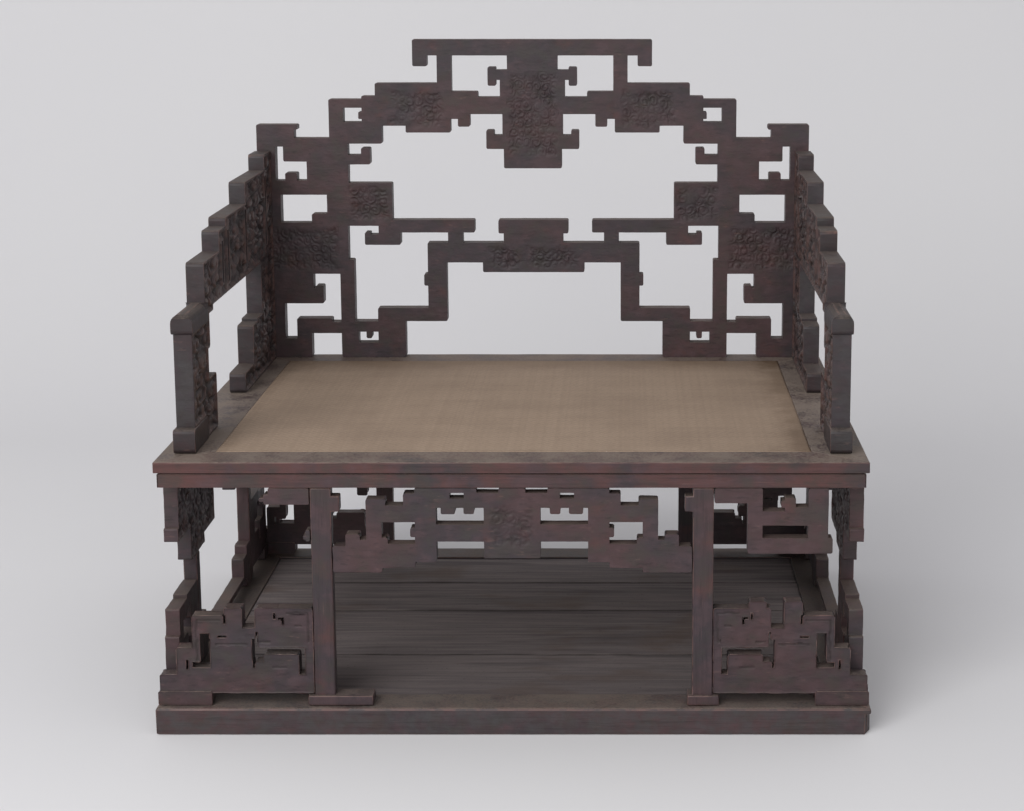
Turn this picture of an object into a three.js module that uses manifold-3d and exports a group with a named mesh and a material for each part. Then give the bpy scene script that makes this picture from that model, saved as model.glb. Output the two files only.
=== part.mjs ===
// A wide, low throne of dark carved hardwood. Its base frame holds a plank deck, eight posts and stepped
// key-fret brackets carry the seat frame with its woven mat, and openwork screens stand round three sides.
// Millimetres, +Z up, front towards -Y. The origin is on the floor, under the middle of the base.
import * as THREE from 'three';
import { mergeVertices } from 'three/addons/utils/BufferGeometryUtils.js';
import Module from 'manifold-3d';

const wasm = await Module();
wasm.setup();

// Clearance left between pieces that touch, and how far a point may move when flat faces are merged
const GAP = 0.3;
const MERGE_LIMIT = 0.01;

// Base frame and its deck
const BASE_OVERHANG = 10;
const BASE_HEIGHT = 48;
const BASE_RAIL = 68;
const BASE_CHAMFER = 3;
const CHIP_SIZE = 11;
const CHIP_HEIGHT = 36;
const DECK_THICKNESS = 15;
const DECK_DROP = 3;
const DECK_LEDGE = 16;
const DECK_BOARDS = [202, 245, 173];

// Seat frame and mat
const SEAT_WIDTH = 1200;
const SEAT_DEPTH = 900;
const SEAT_TOP = 477;
const RAIL_HEIGHT = 46;
const FRONT_RAIL = 72;
const SIDE_RAIL = 92;
const LIP_HEIGHT = 19.5;
const LIP_CHAMFER = 1.5;
const GROOVE_HEIGHT = 2.5;
const GROOVE_DEPTH = 9;
const BAND_INSET = 5;
const MAT_THICKNESS = 10;
const MAT_LEDGE = 14;

// Posts and frets below the seat
const SKIRT_INSET = 6;
const SIDE_SKIRT_INSET = 0;
const SKIRT_THICKNESS = 26;
const FRONT_POST_WIDTH = 36;
const FRONT_POST_PLACE = 322;
const SIDE_POST_WIDTH = 26;
const FOOT_CLEARANCE = 2;
const FOOT_OUTWARD = 11;
const FOOT_INWARD = 8;
const FOOT_INWARD_LONG = 65;
const FOOT_OVERHANG = 6;
const POST_BLOCK = 14;
const BRACKET_DROP = 173;
const APRON_DROP = 148;
const LOWER_FRET_HEIGHT = 187;
const CORNER_GAP = 27;
const LOWER_OVERHANG = 5;
const LOWER_TAB = 184;
const LOWER_TAB_BROKEN = 172.5;
const SAW_SLOT = 4;
const HOOK_SLOT = 10;
const FOOT_PROUD = 3;
const FOOT_OVERLAP = 5;
const BRACKET_INNER_END = 95;
const BRACKET_CORNER_GAP = 56;

// Screens above the seat
const BACK_INSET = 30;
const BACK_HEIGHT = 663;
const BACK_THICKNESS = 30;
const BACK_SETBACK = 5;
const ARM_HEIGHT = 435;
const ARM_THICKNESS = 32;
const ARM_INSET = 27;
const ARM_FRONT = 52;
const SLIT_WIDTH = 13;

// Carving
const FIELD_DEPTH = 3;
const RELIEF_HEIGHT = 2.6;
const SCROLL_STEPS = 7;
const SCROLL_TURN = 1;

const baseWidth = SEAT_WIDTH + 2 * BASE_OVERHANG;
const baseDepth = SEAT_DEPTH + 2 * BASE_OVERHANG;
const railUnderside = SEAT_TOP - RAIL_HEIGHT;
const postFoot = BASE_HEIGHT + GAP;
const postHead = railUnderside - GAP;

const wood = (name, colour, roughness) => {
  const material = new THREE.MeshStandardMaterial({ color: colour, roughness, metalness: 0 });
  material.name = name;
  return material;
};
const darkWood = wood('dark_wood', 0x4a3a38, 0.55);
const deckWood = wood('deck_wood', 0x4a4642, 0.85);
const wovenMat = wood('woven_mat', 0x86745f, 0.9);

const throne = new THREE.Group();
throne.name = 'throne';

// A closed geometry becomes a solid that can be joined to others and cut by them.
function toSolid(geometry) {
  geometry.deleteAttribute('normal');
  geometry.deleteAttribute('uv');
  const merged = mergeVertices(geometry, 1e-4);
  const vertProperties = new Float32Array(merged.attributes.position.array);
  const triVerts = new Uint32Array(merged.index.array);
  return new wasm.Manifold(new wasm.Mesh({ numProp: 3, vertProperties, triVerts }));
}

function addPiece(name, solid, material) {
  // As one original, faces in one plane lose the cuts between the bars they were made of.
  const mesh = solid.asOriginal().simplify(MERGE_LIMIT).getMesh();
  const geometry = new THREE.BufferGeometry();
  geometry.setAttribute('position', new THREE.BufferAttribute(new Float32Array(mesh.vertProperties), 3));
  geometry.setIndex(new THREE.BufferAttribute(new Uint32Array(mesh.triVerts), 1));
  geometry.computeVertexNormals();
  const piece = new THREE.Mesh(geometry, material);
  piece.name = name;
  throne.add(piece);
}

function slab(x0, x1, y0, y1, z0, z1) {
  const box = new THREE.BoxGeometry(Math.abs(x1 - x0), Math.abs(y1 - y0), Math.abs(z1 - z0));
  return toSolid(box.translate((x0 + x1) / 2, (y0 + y1) / 2, (z0 + z1) / 2));
}

// An outline in two coordinates, raised to a height along the third, which starts at `from`.
function prism(outline, from, height) {
  const shape = new THREE.Shape(outline.map(([u, v]) => new THREE.Vector2(u, v)));
  const geometry = new THREE.ExtrudeGeometry(shape, { depth: height, bevelEnabled: false, steps: 1 });
  return toSolid(geometry.translate(0, 0, from));
}

const join = (solids) => solids.reduce((whole, solid) => whole.add(solid));

// Turns a solid drawn with u across, v up and thickness along w, so that u runs along X or along Y.
const standAlongX = (solid) => solid.rotate([90, 0, 0]);
const standAlongY = (solid) => solid.rotate([90, 0, 90]);

// A piece drawn for the front right is turned over for the other corners. Its shown face stays outside.
function handed(solid, side, end) {
  const across = side > 0 ? solid : solid.mirror([1, 0, 0]);
  return end > 0 ? across.mirror([0, 1, 0]) : across;
}

// Mitred rails
// A profile is given as [distance in from the outer face, height] and runs the whole length of one side.
function rail(profile, length, half, ends) {
  const bar = prism(profile.map(([inset, z]) => [inset - half, z]), -length / 2, length);
  const reach = prism(ends, 0, SEAT_TOP + GAP);
  return standAlongY(bar).intersect(reach);
}

// One rail of a rectangular frame lies between two slanting cuts through the frame's corners.
function mitre(halfLong, halfShort, railLong, railShort, depth) {
  const run = depth / railLong;
  const inner = halfLong - GAP / 2 - railShort * run;
  return [
    [-halfLong + GAP / 2, -halfShort],
    [halfLong - GAP / 2, -halfShort],
    [inner, -halfShort + depth],
    [-inner, -halfShort + depth],
  ];
}

function frameRails(prefix, width, depth, frontRail, sideRail, ledge, profile, finish) {
  const sides = [
    ['front', 0, width / 2, depth / 2, frontRail, sideRail],
    ['right', 90, depth / 2, width / 2, sideRail, frontRail],
    ['rear', 180, width / 2, depth / 2, frontRail, sideRail],
    ['left', 270, depth / 2, width / 2, sideRail, frontRail],
  ];
  for (const [side, turn, halfLong, halfShort, own, next] of sides) {
    const ends = mitre(halfLong, halfShort, own, next, own + ledge);
    const solid = rail(profile(own), halfLong * 2, halfShort, ends).rotate([0, 0, turn]);
    addPiece(`${prefix}_${side}`, finish ? finish(solid) : solid, darkWood);
  }
}

// Base frame
// Four mitred rails with a rebate that holds the deck. The front right corner is chipped.
const deckTop = BASE_HEIGHT - DECK_DROP;
const deckLedgeTop = deckTop - DECK_THICKNESS - GAP;
const baseProfile = (width) => [
  [0, 0],
  [width + DECK_LEDGE, 0],
  [width + DECK_LEDGE, deckLedgeTop],
  [width, deckLedgeTop],
  [width, BASE_HEIGHT],
  [BASE_CHAMFER, BASE_HEIGHT],
  [0, BASE_HEIGHT - BASE_CHAMFER],
];
const chipCorner = [baseWidth / 2, -baseDepth / 2];
const chip = prism([
  [chipCorner[0] - CHIP_SIZE, chipCorner[1] - 1],
  [chipCorner[0] + 1, chipCorner[1] - 1],
  [chipCorner[0] + 1, chipCorner[1] + CHIP_SIZE * 2],
], -1, CHIP_HEIGHT + 1);
frameRails('base_rail', baseWidth, baseDepth, BASE_RAIL, BASE_RAIL, DECK_LEDGE, baseProfile,
  (solid) => solid.subtract(chip));

// Deck boards
// They run from side to side and rest on the ledge of the base frame. The rear one fills what is left.
const deckHalfWidth = baseWidth / 2 - BASE_RAIL - GAP;
const deckHalfDepth = baseDepth / 2 - BASE_RAIL - GAP;
let boardFront = -deckHalfDepth;
for (let board = 0; board <= DECK_BOARDS.length; board += 1) {
  const isLast = board === DECK_BOARDS.length;
  const boardBack = isLast ? deckHalfDepth : boardFront + DECK_BOARDS[board];
  const plank = slab(-deckHalfWidth, deckHalfWidth, boardFront, boardBack, deckTop - DECK_THICKNESS, deckTop);
  addPiece(`deck_board_${board + 1}`, plank, deckWood);
  boardFront = boardBack + GAP;
}

// Seat frame
// Four mitred rails: a lip, a thin groove below it and a band that stands back a little.
const lipFoot = SEAT_TOP - LIP_HEIGHT;
const seatProfile = (width) => [
  [BAND_INSET, railUnderside],
  [width + MAT_LEDGE, railUnderside],
  [width + MAT_LEDGE, SEAT_TOP - MAT_THICKNESS - GAP],
  [width, SEAT_TOP - MAT_THICKNESS - GAP],
  [width, SEAT_TOP],
  [LIP_CHAMFER, SEAT_TOP],
  [0, SEAT_TOP - LIP_CHAMFER],
  [0, lipFoot],
  [GROOVE_DEPTH, lipFoot],
  [GROOVE_DEPTH, lipFoot - GROOVE_HEIGHT],
  [BAND_INSET, lipFoot - GROOVE_HEIGHT],
];
frameRails('seat_rail', SEAT_WIDTH, SEAT_DEPTH, FRONT_RAIL, SIDE_RAIL, MAT_LEDGE, seatProfile);

// Seat mat
// Woven cane, let in flush with the top of the frame.
const matHalfWidth = SEAT_WIDTH / 2 - SIDE_RAIL - GAP;
const matHalfDepth = SEAT_DEPTH / 2 - FRONT_RAIL - GAP;
addPiece('seat_mat', slab(-matHalfWidth, matHalfWidth, -matHalfDepth, matHalfDepth,
  SEAT_TOP - MAT_THICKNESS, SEAT_TOP), wovenMat);

// Fret drawing
// A fret is drawn on its own sheet, u across and v up, from level and upright bars. The sheet is stretched
// to the piece's real width and height, so a bar's place and width are shares of the piece that it is in.
class Fret {
  constructor(scaleU, scaleV, thickness) {
    this.scaleU = scaleU;
    this.scaleV = scaleV;
    this.thickness = thickness;
    this.parts = [];
    this.fields = [];
    this.slots = [];
    this.reliefs = [];
  }

  // One bar from u0 to u1 and from v0 to v1. `proud` thickens it on both faces.
  bar(u0, u1, v0, v1, proud = 0) {
    const half = this.thickness / 2 + proud;
    const [a, b, c, d] = [u0 * this.scaleU, u1 * this.scaleU, v0 * this.scaleV, v1 * this.scaleV];
    const outline = [[a, c], [b, c], [b, d], [a, d]];
    this.parts.push(prism(outline, -half, half * 2));
    return this;
  }

  // The same bar on both sides of the sheet's middle line.
  pair(u0, u1, v0, v1) {
    return this.bar(u0, u1, v0, v1).bar(-u1, -u0, v0, v1);
  }

  // A level bar that ends in an upright tip: the hook of a key fret.
  hook(from, to, v0, v1, tipFrom, tipTo, tipWidth) {
    const out = Math.sign(to - from);
    this.pair(Math.min(from, to), Math.max(from, to), v0, v1);
    return this.pair(Math.min(to, to - out * tipWidth), Math.max(to, to - out * tipWidth), tipFrom, tipTo);
  }

  // A carved tablet on the shown face: a sunk field with a pair of scrolls and a leaf that rise from it.
  tablet(u, v, width, height, rim) {
    const halfW = width / 2 - rim;
    const halfH = height / 2 - rim;
    const outline = this.stretch([[-halfW, -halfH], [halfW, -halfH], [halfW, halfH], [-halfW, halfH]], u, v);
    this.fields.push(prism(outline, this.thickness / 2 - FIELD_DEPTH, FIELD_DEPTH + 1));
    const radius = Math.min(halfW / 2, halfH) * 0.86;
    this.raise(this.stretch(scrollBand(radius), u + halfW * 0.5, v));
    this.raise(this.stretch(scrollBand(radius).map(([a, b]) => [-a, b]).reverse(), u - halfW * 0.5, v));
    const [leafW, leafH] = [radius * 0.3, halfH * 0.92];
    this.raise(this.stretch([[leafW, 0], [0, leafH], [-leafW, 0], [0, -leafH]], u, v));
    return this;
  }

  // A slot sawn through the sheet along level and upright runs. Its width is real, not a share of the sheet.
  slot(width, ...corners) {
    for (let run = 1; run < corners.length; run += 1) {
      const us = [corners[run - 1][0] * this.scaleU, corners[run][0] * this.scaleU];
      const vs = [corners[run - 1][1] * this.scaleV, corners[run][1] * this.scaleV];
      const [left, right] = [Math.min(...us) - width / 2, Math.max(...us) + width / 2];
      const [foot, head] = [Math.min(...vs) - width / 2, Math.max(...vs) + width / 2];
      const outline = [[left, foot], [right, foot], [right, head], [left, head]];
      this.slots.push(prism(outline, -this.thickness, this.thickness * 2));
    }
    return this;
  }

  stretch(outline, u, v) {
    return outline.map(([a, b]) => [(u + a) * this.scaleU, (v + b) * this.scaleV]);
  }

  // A raised outline on the floor of a sunk field.
  raise(outline) {
    this.reliefs.push(prism(outline, this.thickness / 2 - FIELD_DEPTH - 1, RELIEF_HEIGHT + 1));
  }

  solid() {
    let whole = join(this.parts);
    for (const cut of [...this.fields, ...this.slots]) {
      whole = whole.subtract(cut);
    }
    for (const relief of this.reliefs) {
      whole = whole.add(relief);
    }
    return whole;
  }
}

// A flat spiral band that narrows towards its eye.
function scrollBand(radius) {
  const outside = [];
  const inside = [];
  for (let step = 0; step <= SCROLL_STEPS; step += 1) {
    const share = step / SCROLL_STEPS;
    const angle = Math.PI * (0.5 + 2 * SCROLL_TURN * share);
    const reach = radius * (1 - 0.7 * share);
    const band = radius * (0.3 - 0.14 * share);
    outside.push([Math.cos(angle) * reach, Math.sin(angle) * reach]);
    inside.push([Math.cos(angle) * (reach - band), Math.sin(angle) * (reach - band)]);
  }
  return [...outside, ...inside.reverse()];
}

// Back screen
// Drawn 1140 wide and 663 high, measured up from the seat. Both halves are alike.
const BACK_SHEET = [1140, 663];
const backWidth = SEAT_WIDTH - 2 * BACK_INSET;
const backY = SEAT_DEPTH / 2 - BACK_SETBACK - BACK_THICKNESS / 2;

function backScreen() {
  const fret = new Fret(backWidth / BACK_SHEET[0], BACK_HEIGHT / BACK_SHEET[1], BACK_THICKNESS);
  // Crest: a long beam on two short posts, with a hook hanging at each end
  fret.bar(-246, 246, 630, 663);
  fret.pair(216, 246, 608, 663);
  fret.pair(166, 196, 556, 631);
  // Pendant tablet below the middle of the beam
  fret.bar(-52, 52, 580, 631);
  fret.bar(-67, 67, 510, 580);
  fret.bar(-62.5, 62.5, 467, 511);
  fret.hook(0, 96, 438, 467, 438, 477.5, 17);
  fret.bar(-60, 60, 398, 439);
  fret.hook(0, 92, 580, 601, 568, 607, 17.5);
  // Shoulders step down and outwards from the pendant
  fret.pair(66, 113, 510, 545.5);
  fret.pair(112, 170, 510, 557);
  fret.pair(129, 154, 484, 511);
  fret.pair(153, 170, 500, 511);
  fret.pair(169, 262, 472, 557);
  fret.pair(195, 324, 486, 574);
  fret.pair(311, 352, 449, 547.5);
  // Ring at the end of each shoulder, with a hook under it
  fret.pair(349, 420, 523, 541);
  fret.pair(390, 420, 449, 541);
  fret.pair(349, 420, 449, 494);
  fret.pair(349, 359, 500, 515);
  fret.hook(400, 336, 406, 426, 406, 441, 19);
  // Outer body beside the ring, up to the ear
  fret.pair(382, 468, 367, 461);
  fret.pair(467, 493, 412, 461);
  fret.pair(485, 516, 478, 489);
  fret.pair(492, 570, 443, 489);
  fret.pair(492, 516, 412, 444);
  fret.pair(532, 570, 343, 489);
  fret.pair(382, 570, 343, 373);
  fret.pair(488, 513, 372, 389);
  // Wing: a tablet towards the middle with a long bar and a hanging hook
  fret.pair(292, 428, 278, 368);
  fret.pair(121.5, 296, 264, 291);
  fret.pair(294, 322, 238, 279);
  fret.hook(322, 276, 238, 260, 238, 266, 18);
  fret.hook(322, 351, 238, 260, 238, 265, 12);
  // Outer body below the ear, round the middle opening
  fret.pair(523, 570, 285, 344);
  fret.pair(427, 460, 284, 303.6);
  fret.pair(385, 570, 177, 285);
  fret.pair(460, 570, 114.5, 178);
  fret.hook(461, 439, 114.5, 147, 114.5, 152.5, 16);
  fret.pair(374, 404, 0, 207);
  // Foot of the outer side
  fret.pair(521, 570, 0, 115);
  fret.pair(466, 522, 0, 40);
  fret.pair(466, 497, 39, 83);
  fret.pair(423, 467, 51, 83);
  fret.pair(403, 424, 51, 75);
  // Foot of the inner side, and the step towards the arch
  fret.pair(269, 375, 0, 31);
  fret.pair(269, 327, 30, 78);
  fret.pair(326, 375, 54, 76.6);
  fret.pair(368, 375, 30, 55);
  fret.pair(340, 352, 40, 55);
  fret.pair(182, 327, 76.6, 105);
  // Arch that carries the low middle tablet
  fret.pair(181, 221, 76.6, 243);
  fret.pair(220, 229, 152, 177);
  fret.pair(105, 221, 201, 243);
  fret.pair(146.5, 178, 242, 265);
  fret.bar(-106, 106, 180.6, 243);
  fret.bar(-62, 62, 242, 263);
  fret.bar(-73, 73, 262, 291);
  // Carved tablets, on the front
  fret.tablet(0, 545, 112, 62, 6);
  fret.tablet(0, 488, 106, 40, 5);
  fret.tablet(0, 212, 190, 52, 6);
  for (const side of [1, -1]) {
    fret.tablet(side * 240, 516, 104, 56, 6);
    fret.tablet(side * 340, 323, 82, 66, 6);
    fret.tablet(side * 478, 230, 140, 88, 7);
  }
  return standAlongX(fret.solid()).translate([0, backY, SEAT_TOP + GAP]);
}
addPiece('back_screen', backScreen(), darkWood);

// Arm screens
// Drawn 814 long and 435 high: u runs back from the front foot, v up from the seat.
const ARM_SHEET = [814, 435];
const armLength = backY - BACK_THICKNESS / 2 - GAP + SEAT_DEPTH / 2 - ARM_FRONT;
const armX = SEAT_WIDTH / 2 - ARM_INSET - ARM_THICKNESS / 2;

function armScreen(side) {
  const fret = new Fret(armLength / ARM_SHEET[0], ARM_HEIGHT / ARM_SHEET[1], ARM_THICKNESS);
  // Front post on a swelling foot, with a rounded cap and a block at its inner side
  fret.bar(0, 110, 0, 42, FOOT_PROUD);
  fret.bar(18, 146, 41, 238);
  fret.bar(12, 140, 203, 238, FOOT_PROUD);
  fret.bar(145, 163, 153, 190);
  fret.bar(100, 206, 0, 100);
  // Steps that climb to the back
  const steps = [[131, 308], [268, 345], [331, 361], [526, 403], [733, 435]];
  for (const [start, height] of steps) {
    fret.bar(start, 814, 223, height);
  }
  fret.bar(131, 163, 183, 224);
  fret.bar(162, 198, 213, 224);
  // Rear column and its stepped foot
  fret.bar(668, 814, 114, 224);
  fret.bar(612, 669, 110, 121);
  fret.bar(564, 814, 0, 115);
  fret.bar(471, 565, 0, 39);
  // Carved tablets on the inner face
  fret.tablet(82, 140, 96, 90, 8);
  fret.tablet(215, 266, 110, 66, 7);
  fret.tablet(430, 292, 150, 98, 9);
  fret.tablet(630, 312, 150, 130, 9);
  fret.tablet(700, 58, 150, 80, 9);
  // Narrow slits between the tablets
  let pierced = standAlongY(fret.solid());
  for (const [u, low, high] of [[292, 245, 322], [345, 240, 335], [518, 250, 350], [735, 250, 390]]) {
    const a = u * fret.scaleU;
    const b = (u + SLIT_WIDTH) * fret.scaleU;
    const [foot, head] = [low * fret.scaleV, high * fret.scaleV];
    pierced = pierced.subtract(slab(-ARM_THICKNESS, ARM_THICKNESS, a, b, foot, head));
  }
  const inward = side < 0 ? pierced : pierced.mirror([1, 0, 0]);
  return inward.translate([side * armX, -SEAT_DEPTH / 2 + ARM_FRONT, SEAT_TOP + GAP]);
}
addPiece('arm_screen_left', armScreen(-1), darkWood);
addPiece('arm_screen_right', armScreen(1), darkWood);

// Posts below the seat
// Front and rear posts reach the seat frame, and their feet pass under the frets beside them. The side posts
// stop under the middle of their brackets.
const LOWER_SHEET = [265, 187];
const LOWER_LIFT = 20;
const lowerScale = LOWER_FRET_HEIGHT / LOWER_SHEET[1];
const postFootHeight = LOWER_LIFT * lowerScale - FOOT_CLEARANCE;
const bracketOuterEnd = SEAT_DEPTH / 2 - BRACKET_CORNER_GAP;
const sidePostPlace = (BRACKET_INNER_END + bracketOuterEnd) / 2;
const frontY = SEAT_DEPTH / 2 - SKIRT_INSET - SKIRT_THICKNESS / 2;
const sideX = SEAT_WIDTH / 2 - SIDE_SKIRT_INSET - SKIRT_THICKNESS / 2;
const bracketFoot = railUnderside - BRACKET_DROP;

function frontPost(x, y, innerFoot) {
  const half = FRONT_POST_WIDTH / 2;
  const deep = SKIRT_THICKNESS / 2;
  const inward = -Math.sign(x);
  const shaft = slab(x - half, x + half, y - deep, y + deep, postFoot, postHead);
  const [outer, inner] = [x - inward * (half + FOOT_OUTWARD), x + inward * (half + innerFoot)];
  const [front, rear] = [y - deep - FOOT_OVERHANG, y + deep + FOOT_OVERHANG];
  const foot = slab(outer, inner, front, rear, postFoot, postFoot + postFootHeight);
  const block = slab(x, x + inward * (half + POST_BLOCK), y - deep, y + deep,
    postHead - 3 * POST_BLOCK, postHead - POST_BLOCK);
  return shaft.add(foot).add(block);
}
// The front left post keeps a longer piece of its foot.
addPiece('post_front_left', frontPost(-FRONT_POST_PLACE, -frontY, FOOT_INWARD_LONG), darkWood);
addPiece('post_front_right', frontPost(FRONT_POST_PLACE, -frontY, FOOT_INWARD), darkWood);
addPiece('post_rear_left', frontPost(-FRONT_POST_PLACE, frontY, FOOT_INWARD), darkWood);
addPiece('post_rear_right', frontPost(FRONT_POST_PLACE, frontY, FOOT_INWARD), darkWood);

for (const [sideName, side] of [['left', -1], ['right', 1]]) {
  for (const [endName, end] of [['front', -1], ['rear', 1]]) {
    const half = SIDE_POST_WIDTH / 2;
    const deep = SKIRT_THICKNESS / 2;
    const [x, y] = [side * sideX, end * sidePostPlace];
    const shaft = slab(x - deep, x + deep, y - half, y + half, postFoot, bracketFoot - GAP);
    addPiece(`post_${sideName}_${endName}`, shaft, darkWood);
  }
}

// Middle apron, between the front or the rear posts
// Drawn 606 wide and 148 deep, v up from its lowest edge.
const APRON_SHEET = [606, 148];
const apronWidth = 2 * (FRONT_POST_PLACE - FRONT_POST_WIDTH / 2 - GAP);

function middleApron(end) {
  const fret = new Fret(apronWidth / APRON_SHEET[0], APRON_DROP / APRON_SHEET[1], SKIRT_THICKNESS);
  // Middle tablet and the band above the openings, with slits under the seat frame
  fret.bar(-48, 48, 25, 140);
  fret.bar(-23, 23, 139, 148);
  fret.pair(59, 164, 139, 148);
  fret.pair(47, 81, 113, 140);
  fret.pair(80, 105, 113, 130);
  fret.pair(104, 164, 113, 140);
  fret.pair(63, 82, 102, 114);
  fret.pair(95, 120, 102, 114);
  fret.pair(47, 128, 54, 85);
  // Upright beside the opening, and the curl next to it
  fret.pair(127, 164, 18, 140);
  fret.pair(163, 183, 117, 139);
  fret.pair(163, 246, 88, 118);
  fret.pair(212, 246, 117, 129);
  fret.pair(163, 172, 62, 79);
  // Lower body down to the post
  fret.pair(219, 246, 0, 90);
  fret.pair(163, 220, 8, 51);
  fret.pair(209, 220, 50, 62);
  fret.pair(245, 303, 0, 47);
  fret.pair(256, 281, 46, 68);
  fret.pair(245, 257, 46, 58);
  fret.tablet(0, 82, 84, 86, 8);
  const solid = handed(standAlongX(fret.solid()), 1, end);
  return solid.translate([0, end * frontY, railUnderside - GAP - APRON_DROP]);
}
addPiece('apron_front', middleApron(-1), darkWood);
addPiece('apron_rear', middleApron(1), darkWood);

// Apron ends, from a post towards the corner
// Drawn 201 wide and 115 deep, u out from the post. The front left one is broken off.
const END_SHEET = [201, 115];
const END_DROP_SHARE = END_SHEET[1] / APRON_SHEET[1];
const endStart = FRONT_POST_PLACE + FRONT_POST_WIDTH / 2 + GAP;
const endWidth = SEAT_WIDTH / 2 - SKIRT_INSET - SKIRT_THICKNESS - CORNER_GAP - endStart;
const endDrop = APRON_DROP * END_DROP_SHARE;

function endFret(draw) {
  const fret = new Fret(endWidth / END_SHEET[0], endDrop / END_SHEET[1], SKIRT_THICKNESS);
  draw(fret);
  return standAlongX(fret.solid());
}

const placeEnd = (solid, side, end) => (
  handed(solid, side, end).translate([side * endStart, end * frontY, railUnderside - GAP - endDrop])
);

const wholeEnd = endFret((fret) => {
  fret.bar(0, 82, 88, 115);
  fret.bar(56, 82, 0, 115);
  fret.bar(56, 193, 49, 75);
  fret.bar(56, 201, 0, 28);
  fret.bar(158, 193, 0, 115);
  fret.bar(118, 138, 74, 98);
  fret.bar(112, 120, 80, 93);
  fret.bar(137, 158, 74, 82);
});
const brokenEnd = endFret((fret) => {
  fret.bar(0, 70, 85, 115);
  fret.bar(69, 78, 85, 104);
  fret.bar(77, 86, 90, 98);
});
const scrap = endFret((fret) => {
  fret.bar(0, 9, 21, 42);
  fret.bar(8, 13, 24, 33);
});
addPiece('apron_end_front_right', placeEnd(wholeEnd, 1, -1), darkWood);
addPiece('apron_end_front_left', placeEnd(brokenEnd, -1, -1), darkWood);
addPiece('apron_scrap_front_left', placeEnd(scrap, -1, -1), darkWood);
addPiece('apron_end_rear_right', placeEnd(wholeEnd, 1, 1), darkWood);
addPiece('apron_end_rear_left', placeEnd(wholeEnd, -1, 1), darkWood);

// Lower frets, from a post to the corner, on the front and the rear
// Drawn 265 wide and 187 high, u out from the post, v up from the base frame.
const lowerWidth = SEAT_WIDTH / 2 + LOWER_OVERHANG - endStart;

function lowerFret(side, end, tabTop) {
  const fret = new Fret(lowerWidth / LOWER_SHEET[0], lowerScale, SKIRT_THICKNESS);
  // Bottom rail, standing on a block at the corner
  fret.bar(0, 264, LOWER_LIFT, 54);
  fret.bar(175, 267, 0, LOWER_LIFT + FOOT_OVERLAP, FOOT_PROUD);
  // Corner upright and the scroll that turns in from its top
  fret.bar(193, 206, 53, 159);
  fret.bar(205, 234, 53, 102);
  fret.bar(175, 194, 53, 66);
  fret.bar(150, 206, 142, 159);
  fret.bar(150, 177, 117, 143);
  fret.bar(176, 194, 127, 143);
  fret.slot(HOOK_SLOT, [188, 71], [202, 71]);
  fret.slot(SAW_SLOT, [216, 65], [216, 78]);
  fret.slot(SAW_SLOT, [150, 158], [150, 146]);
  fret.slot(SAW_SLOT, [150, 121], [161, 121]);
  // Block, tab and what stands beside the post
  fret.bar(105, 176, 53, 118);
  fret.bar(120, 151, 117, tabTop);
  fret.bar(85, 106, 53, 77);
  fret.bar(25, 85, 53, 90);
  fret.bar(97, 121, 117, 137);
  fret.bar(60, 90, 171, tabTop);
  fret.bar(0, 14, 53, 103);
  fret.slot(SAW_SLOT, [102, 68], [102, 80]);
  if (end < 0) {
    // At the front a panel, parted from the block by a saw cut, with two small hooks sawn in it
    fret.bar(0, 98, 102, 172);
    fret.slot(SAW_SLOT, [96, 104], [96, 128]);
    fret.slot(SAW_SLOT, [65, 162], [65, 154]);
    fret.slot(SAW_SLOT, [57, 154], [51, 154], [51, 145]);
  } else {
    // At the rear a gap, with a hook that hangs into it from the top bar and one beside the block
    fret.bar(0, 121, 150, 172);
    fret.bar(18, 40, 128, 151);
    fret.bar(92, 106, 82, 105);
  }
  const solid = handed(standAlongX(fret.solid()), side, end);
  return solid.translate([side * endStart, end * frontY, postFoot]);
}
addPiece('lower_fret_front_left', lowerFret(-1, -1, LOWER_TAB_BROKEN), darkWood);
addPiece('lower_fret_front_right', lowerFret(1, -1, LOWER_TAB), darkWood);
addPiece('lower_fret_rear_left', lowerFret(-1, 1, LOWER_TAB), darkWood);
addPiece('lower_fret_rear_right', lowerFret(1, 1, LOWER_TAB), darkWood);

// Side brackets, above the side posts
// Drawn 299 long and 173 deep, u out from the bracket's inner end towards the corner.
const BRACKET_SHEET = [299, 173];
const bracketLength = bracketOuterEnd - BRACKET_INNER_END;

function sideBracket(side, end) {
  const fret = new Fret(bracketLength / BRACKET_SHEET[0], BRACKET_DROP / BRACKET_SHEET[1], SKIRT_THICKNESS);
  fret.bar(0, 290, 86, 173);
  fret.bar(0, 299, 62, 87);
  // Lower body, and the block on the head of the post
  fret.bar(0, 202, 18, 63);
  fret.bar(90, 202, 0, 19);
  fret.tablet(150, 131, 220, 66, 8);
  const solid = handed(standAlongY(fret.solid()), side, -end);
  return solid.translate([side * sideX, end * BRACKET_INNER_END, bracketFoot]);
}

// Side lower frets
// Each side has one beyond either post and one between the posts, v up from the base frame.
const sideFretStart = sidePostPlace + SIDE_POST_WIDTH / 2 + GAP;
const sideFretEnd = frontY - SKIRT_THICKNESS / 2 - FOOT_PROUD - GAP;
const OUTER_LENGTH = 156;
const MIDDLE_HALF = 233;

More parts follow.
